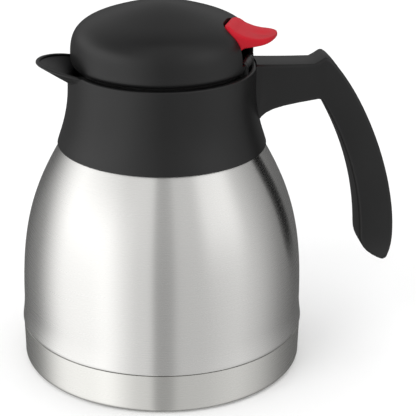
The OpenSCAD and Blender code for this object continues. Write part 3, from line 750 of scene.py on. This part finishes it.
lever_stations = [(o, w, lever_half(o[0]))
                  for o, w in zip(lobe_top + tail_top, lobe_low + neck_low + tail_low)]
print("lever stations", len(lever_stations))

# %% Thumb lever
LEVER_EDGE_R = 2.2
DISH_X, DISH_R, DISH_DEPTH = LEVER_REACH - 7, 8, 0.9

lever = pulled("thumb_lever_red", lever_stations, columns=10, rounding=LEVER_EDGE_R,
               like=LOBE_STEPS)
leave_showing(lever, lambda v: v.co.z >= (LEVER_PIN_Z + 4.6) * MM and v.co.x >= LEVER_PIN_X * MM)
nearest = min((v for v in bmesh.from_edit_mesh(lever.data).verts if not v.hide),
              key=lambda v: (v.co.xy - Vector((DISH_X * MM, 0))).length).index
pick(lever, "VERT", lambda v: v.index == nearest)
ops.transform.translate(value=(0, 0, -DISH_DEPTH * MM), use_proportional_edit=True,
                        proportional_edit_falloff="SMOOTH", proportional_size=DISH_R * MM)
ops.mesh.reveal(select=False)
closed(lever, smooth=50)

# %% Arm and fork of the lever
STEM_R = 2.4
FORK_Y = STEM_R + 2
PRONG_HALF = 1.3
ARM_HALF = 3.5
ARM_FROM, ARM_BOTTOM, ARM_TOP = 6, LEVER_PIN_Z - 1.6, LEVER_PIN_Z + 1.8
BORE_OF_LEVER_R = 1.55

bar_half = FORK_Y + PRONG_HALF
parts = [box("arm", (ARM_FROM, -ARM_HALF, ARM_BOTTOM), (LEVER_PIN_X - 2, ARM_HALF, ARM_TOP)),
         box("bar", (ARM_FROM, -bar_half, ARM_BOTTOM), (ARM_FROM + 4, bar_half, ARM_TOP))]
for side in (-1, 1):
    y = side * FORK_Y - PRONG_HALF
    parts.append(box("prong", (0, y, LEVER_PIN_Z - 0.6),
                     (9, side * FORK_Y + PRONG_HALF, LEVER_PIN_Z + 2.6)))
    parts.append(rod("toe", 1.7, (0, y, LEVER_PIN_Z + 2), 2 * PRONG_HALF, along_y=True, sides=32))
for part in parts:
    combined(lever, part, "UNION")
lever_bore = rod("bore", BORE_OF_LEVER_R, (LEVER_PIN_X, -20, LEVER_PIN_Z), 40, along_y=True)
combined(lever, lever_bore, "DIFFERENCE")
closed(beside_handle(lever), smooth=50)
tip = max((v.co for v in lever.data.vertices), key=lambda c: c.length)
print("tip of the lever at", [round(c * 1000, 1) for c in tip])
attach(lever, "lever")
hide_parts("thumb_lever")

# %% [markdown]
# ## Valve spring
# A steel compression spring sits round the stem between the valve disc and the lid's base. A curve
# with a round bevel would draw it as well, but then its ends stay open. So a small round of wire is
# pulled along the helix step by step and capped. Its first and last turns lie close, as on a real
# spring with closed ends, and the turns between are open. On the real jug, the spring is squeezed
# against its upper end when the valve lifts.

# %% Valve spring
WIRE_R = 0.5
COIL_R = 6.0
SPRING_LOW, SPRING_HIGH = 145.0, 154.55
TURN_STEPS = 24
CLOSED_PITCH = 1.06
OPEN_TURNS = 4
open_pitch = (SPRING_HIGH - SPRING_LOW - 2 * CLOSED_PITCH) / OPEN_TURNS

begin()
ops.mesh.primitive_circle_add(vertices=10, radius=WIRE_R * MM, fill_type="NGON",
                              rotation=(pi / 2, 0, 0), location=(COIL_R * MM, 0, SPRING_LOW * MM))
spring = opened("valve_spring_coil")
for step in range((OPEN_TURNS + 2) * TURN_STEPS):
    closed_turn = step < TURN_STEPS or step >= (OPEN_TURNS + 1) * TURN_STEPS
    rise = (CLOSED_PITCH if closed_turn else open_pitch) / TURN_STEPS * MM
    ops.mesh.extrude_region_move(TRANSFORM_OT_translate={"value": (0, 0, rise)})
    ops.transform.rotate(value=2 * pi / TURN_STEPS, orient_axis="Z", center_override=(0, 0, 0))
cap_ends()
closed(spring, smooth=50)
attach(spring, "lid")
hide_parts("valve_spring")
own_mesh(spring)

# %% [markdown]
# ## Writing a finish
# A finish is a small sum of values: where on the surface, how fine, how deep. Nodes can be placed
# and linked one by one, but a sum is easier to read as a sum. The first class below wraps one
# value, so that each sign adds one node, and the second makes any node in a single call.


# %% A value of a finish
class Value:
    """A value that changes over the surface."""

    def __init__(self, finish, socket):
        self.finish, self.socket = finish, socket

    def maths(self, operation, other, flipped=False):
        first, second = (other, self) if flipped else (self, other)
        return self.finish.node("ShaderNodeMath", {0: first, 1: second}, operation=operation)

    def __add__(self, other):
        return self.maths("ADD", other)

    def __sub__(self, other):
        return self.maths("SUBTRACT", other)

    def __rsub__(self, other):
        return self.maths("SUBTRACT", other, flipped=True)

    def __mul__(self, other):
        return self.maths("MULTIPLY", other)

    def __truediv__(self, other):
        return self.maths("DIVIDE", other)

    def __rtruediv__(self, other):
        return self.maths("DIVIDE", other, flipped=True)

    __radd__ = __add__
    __rmul__ = __mul__

    def within(self, low, high, to_low=0.0, to_high=1.0):
        """The value spread from low..high to another range, smoothly, and held at its ends."""
        return self.finish.node("ShaderNodeMapRange",
                                {0: self, 1: low, 2: high, 3: to_low, 4: to_high},
                                interpolation_type="SMOOTHSTEP")


# %% The nodes of a finish
class Finish:
    """The nodes of one material, or of the studio's surroundings."""

    def __init__(self, owner):
        owner.use_nodes = True
        self.owner, self.tree = owner, owner.node_tree
        self.tree.nodes.clear()

    def node(self, kind, values=None, output=0, stops=None, **settings):
        """Adds a node, sets it up, gives its sockets values or links, and returns one output."""
        made = self.tree.nodes.new(kind)
        for name, value in settings.items():
            setattr(made, name, value)
        if stops:
            ramp = made.color_ramp
            while len(ramp.elements) < len(stops):
                ramp.elements.new(0.5)
            for element, (place, level) in zip(ramp.elements, stops):
                element.position = place
                element.color = (level, level, level, 1)
        for name, value in (values or {}).items():
            if isinstance(value, Value):
                self.tree.links.new(value.socket, made.inputs[name])
            else:
                made.inputs[name].default_value = value
        return Value(self, made.outputs[output]) if made.outputs else None

    def place(self, scale=(1, 1, 1)):
        """Where on the piece, in metres, stretched by a Mapping."""
        where = self.node("ShaderNodeTexCoord", output="Object")
        return self.node("ShaderNodeMapping", {"Vector": where, "Scale": scale})

    def grain(self, where, scale=1.0, detail=2.0, roughness=0.5):
        return self.node("ShaderNodeTexNoise", {"Vector": where, "Scale": scale, "Detail": detail,
                                                "Roughness": roughness})

    def shade(self, low, high, share):
        """A colour between two colours."""
        return self.node("ShaderNodeMix", {0: share, 6: low + (1,), 7: high + (1,)}, output=2,
                         data_type="RGBA")

    def bump(self, height, depth, strength):
        return self.node("ShaderNodeBump",
                         {"Height": height, "Distance": depth, "Strength": strength})

    def surface(self, **sockets):
        """Closes the finish with the shader; a name like Base_Color stands for Base Color."""
        shader = self.node("ShaderNodeBsdfPrincipled",
                           {name.replace("_", " "): value for name, value in sockets.items()})
        self.node("ShaderNodeOutputMaterial", {"Surface": shader})
        return self.owner


# %% [markdown]
# ## Brushed steel
# The shell is brushed while it turns, so its lines run round it. Light then spreads up and down and
# not sideways, which gives the tall soft stripes that a brushed jug shows. Deep lines in the bump
# could do that, but they flicker from afar, so the shader's anisotropy does the spreading. The
# lines themselves are a noise that is stretched round the jug: fine along its height and long along
# its girth. They move the tone, the roughness and the height a very little. Steel is a touch warmer
# than grey, and the pressed band is warmer than the shell.

# %% Brushed steel
FINE_LINES, BROAD_LINES = (24, 24, 5200), (16, 16, 900)


def brushed(name, level, roughness, warmth):
    finish = Finish(bpy.data.materials.new(name))
    fine = finish.grain(finish.place(FINE_LINES), detail=3, roughness=0.6)
    broad = finish.grain(finish.place(BROAD_LINES), detail=2)
    stroke = fine * 0.65 + broad * 0.35
    tint = (1.006, 0.998, warmth)
    tone = finish.shade(tuple(level * 0.992 * t for t in tint),
                        tuple(level * 1.008 * t for t in tint), stroke.within(0.3, 0.7))
    return finish.surface(
        Base_Color=tone, Metallic=1.0, Anisotropic=0.95, Anisotropic_Rotation=0.25,
        Roughness=stroke.within(0.25, 0.75, roughness - 0.01, roughness + 0.01),
        Normal=finish.bump(stroke, 0.00002, 0.012))


shell_steel = brushed("shell_steel", 0.73, 0.27, 0.974)
band_steel = brushed("band_steel", 0.72, 0.27, 0.958)
shell.data.materials.append(shell_steel)
cup.data.materials.append(band_steel)
print("brushed", shell.name, "and", cup.name)

# %% [markdown]
# ## Plastics and rubber
# The black moulding has a fine matt grain from its mould, seen only as a soft sheen that breaks up
# the light. The red lever has the same grain, finer and a little glossier where thumbs polish it.
# The rubber parts are duller still. They are all one recipe with other numbers: a fine noise for
# the grain and a broad one for the slow change of tone that keeps a large face from looking flat.


# %% Moulded plastic
def moulded(name, low, high, roughness, grain_size, depth, shine=0.5):
    """grain_size and depth are in millimetres; low and high are the darkest and palest colour."""
    finish = Finish(bpy.data.materials.new(name))
    fine = finish.grain(finish.place(), scale=1 / (grain_size * MM), detail=2)
    cloud = finish.grain(finish.place(), scale=28, detail=3)
    spread = 0.04
    return finish.surface(
        Base_Color=finish.shade(low, high, cloud.within(0.3, 0.7)), Specular_IOR_Level=shine,
        Roughness=(cloud * spread + fine * spread + (roughness - spread)),
        Normal=finish.bump(fine, depth * MM, 0.5))


black_plastic = moulded("black_plastic", (0.0035, 0.0035, 0.0036), (0.005, 0.005, 0.0051),
                        0.38, 0.35, 0.012, shine=0.42)
inner_black = moulded("inner_black_plastic", (0.012, 0.012, 0.012), (0.016, 0.016, 0.016),
                      0.36, 0.5, 0.006)
red_plastic = moulded("red_plastic", (0.42, 0.006, 0.015), (0.48, 0.008, 0.020),
                      0.36, 0.3, 0.006, shine=0.15)
seal_rubber = moulded("seal_rubber", (0.035, 0.035, 0.036), (0.045, 0.045, 0.046),
                      0.62, 0.25, 0.012)
base_rubber = moulded("base_rubber", (0.02, 0.02, 0.02), (0.027, 0.027, 0.027), 0.7, 0.4, 0.02)
for piece in (collar, handle, cover, dome):
    piece.data.materials.append(black_plastic)
lever.data.materials.append(red_plastic)
print("moulded", [piece.name for piece in (collar, handle, cover, dome, lever)])

# %% [markdown]
# ## Steel that the drink touches, and small steel parts
# The liner is drawn and polished steel with faint turning marks. Pins, screws and the spring are
# bright drawn wire or rod. The brushed recipe would be too coarse for them, so a plainer one with a
# single fine noise and no stretched highlight serves both.


# %% Plain steels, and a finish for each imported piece
def bright(name, level, roughness, fineness):
    finish = Finish(bpy.data.materials.new(name))
    marks = finish.grain(finish.place((60, 60, fineness)), detail=3)
    tone = finish.shade((level * 0.92,) * 3, (level * 1.04,) * 3, marks.within(0.3, 0.7))
    return finish.surface(Base_Color=tone, Metallic=1.0,
                          Roughness=marks.within(0.2, 0.8, roughness - 0.05, roughness + 0.07),
                          Normal=finish.bump(marks, 0.00001, 0.4))


inner_steel = bright("inner_steel", 0.74, 0.24, 2600)
pin_steel = bright("pin_steel", 0.72, 0.2, 1200)
spring.data.materials.append(pin_steel)

finish_of_slot = {"brushed_shell": shell_steel, "brushed_band": band_steel,
                  "inner_steel": inner_steel, "pin_steel": pin_steel,
                  "black_plastic": inner_black, "red_plastic": red_plastic,
                  "seal_rubber": seal_rubber, "base_rubber": base_rubber}
slots = {part["node"]: part["material_slot"] for part in frame["record"]["subparts"]}
for name, node in frame["nodes"].items():
    node.data.materials.clear()
    node.data.materials.append(finish_of_slot[slots[name]])
print("finished nodes", len(slots))

# %% [markdown]
# ## Studio
# The jug stands on a plain pale floor in a white room. Steel is only as good as what it mirrors, so
# the room's walls are soft cards of different greys that stand round the jug: bright on the left,
# a darker stripe near the camera, a bright wall on the right, and dark behind. Real panels would do
# the same, but their edges show in polished steel, and a sum of soft steps in the surroundings has
# none. Only reflections see the cards. The camera sees plain white.

# %% Floor
begin()
ops.mesh.primitive_plane_add(size=6)
floor = bpy.context.object
floor.name = "floor"
paper = Finish(bpy.data.materials.new("paper"))
floor.data.materials.append(
    paper.surface(Base_Color=(0.93, 0.93, 0.93, 1), Roughness=0.9, Specular_IOR_Level=0.1))
floor.visible_glossy = False
print("floor", floor.dimensions.x, "m wide")

# %% Room
# Grey of the walls by bearing in degrees: 0 behind the camera, negative on its left, 180 opposite.
CARDS = [(-180, 0.1), (-150, 0.14), (-117, 0.3), (-90, 0.4), (-60, 0.45), (-25, 0.85), (-9, 0.82),
         (-5, 0.41), (8, 0.43), (13, 0.64), (40, 0.67), (65, 0.8), (85, 0.67), (112, 0.3),
         (135, 0.16), (180, 0.1)]
WHITE = (1, 1, 1, 1)

world = bpy.data.worlds.new("studio")
bpy.context.scene.world = world
room = Finish(world)
facing = room.node("ShaderNodeTexCoord", output="Generated")
facing = room.node("ShaderNodeMapping", {"Vector": facing, "Rotation": (0, 0, CAMERA_BEARING)})
across, along, up = (room.node("ShaderNodeSeparateXYZ", {0: facing}, output=i) for i in range(3))


def round_share(degrees):
    """A bearing as a share of the full round, from 0 to 1."""
    return degrees / 360 + 0.5


bearing = across.maths("ARCTAN2", along * -1) / (2 * pi) + 0.5
walls = room.node("ShaderNodeValToRGB", {0: bearing},
                  stops=[(round_share(degrees), level) for degrees, level in CARDS])


def soft_card(bearings, heights, level):
    """A card with soft edges between two bearings and two heights of the view."""
    (a0, a1, a2, a3), (h0, h1, h2, h3) = [round_share(a) for a in bearings], heights
    card = bearing.within(a0, a1) * bearing.within(a2, a3, 1, 0)
    return card * up.within(h0, h1) * up.within(h2, h3, 1, 0) * level


# %% Cards, and what the camera sees instead
back_wall = up.within(0.02, 0.3) * (along.within(0.1, 0.6) * 0.22 + 0.08)
walls = (walls + back_wall
         + soft_card((-125, -85, -50, -18), (-0.95, -0.7, 0.3, 0.6), 0.85)
         + soft_card((-155, -115, -65, -35), (-0.05, 0.2, 0.4, 0.65), 0.55)
         + soft_card((30, 45, 68, 85), (0.0, 0.2, 0.6, 0.8), 0.4))
by_camera = room.node("ShaderNodeLightPath", output="Is Camera Ray")
by_gloss = room.node("ShaderNodeLightPath", output="Is Glossy Ray")
seen = room.node("ShaderNodeMix", {0: by_gloss, 6: WHITE, 7: walls}, output=2, data_type="RGBA")
seen = room.node("ShaderNodeMix", {0: by_camera, 6: seen, 7: WHITE}, output=2, data_type="RGBA")
light = room.node("ShaderNodeBackground", {"Color": seen, "Strength": 1.0})
room.node("ShaderNodeOutputWorld", {"Surface": light})
bpy.context.scene.view_settings.view_transform = "Standard"
print("room with", len(CARDS), "stops of grey")


# %% Lamps
def soft_box(name, place, side, power):
    """A square lamp that looks at the jug and shows in no reflection."""
    lamp = bpy.data.objects.new(name, bpy.data.lights.new(name, "AREA"))
    bpy.context.scene.collection.objects.link(lamp)
    lamp.location = place
    lamp.rotation_euler = (Vector((0, 0, 0.1)) - Vector(place)).to_track_quat("-Z", "Y").to_euler()
    lamp.data.shape = "RECTANGLE"
    lamp.data.size = lamp.data.size_y = side
    lamp.data.energy = power
    lamp.visible_camera = False
    lamp.visible_glossy = False
    print(name, power, "W")


soft_box("key_light", (-0.9, -0.8, 1.1), 0.8, 6)
soft_box("top_light", (0.2, 0.1, 1.4), 1.2, 3)
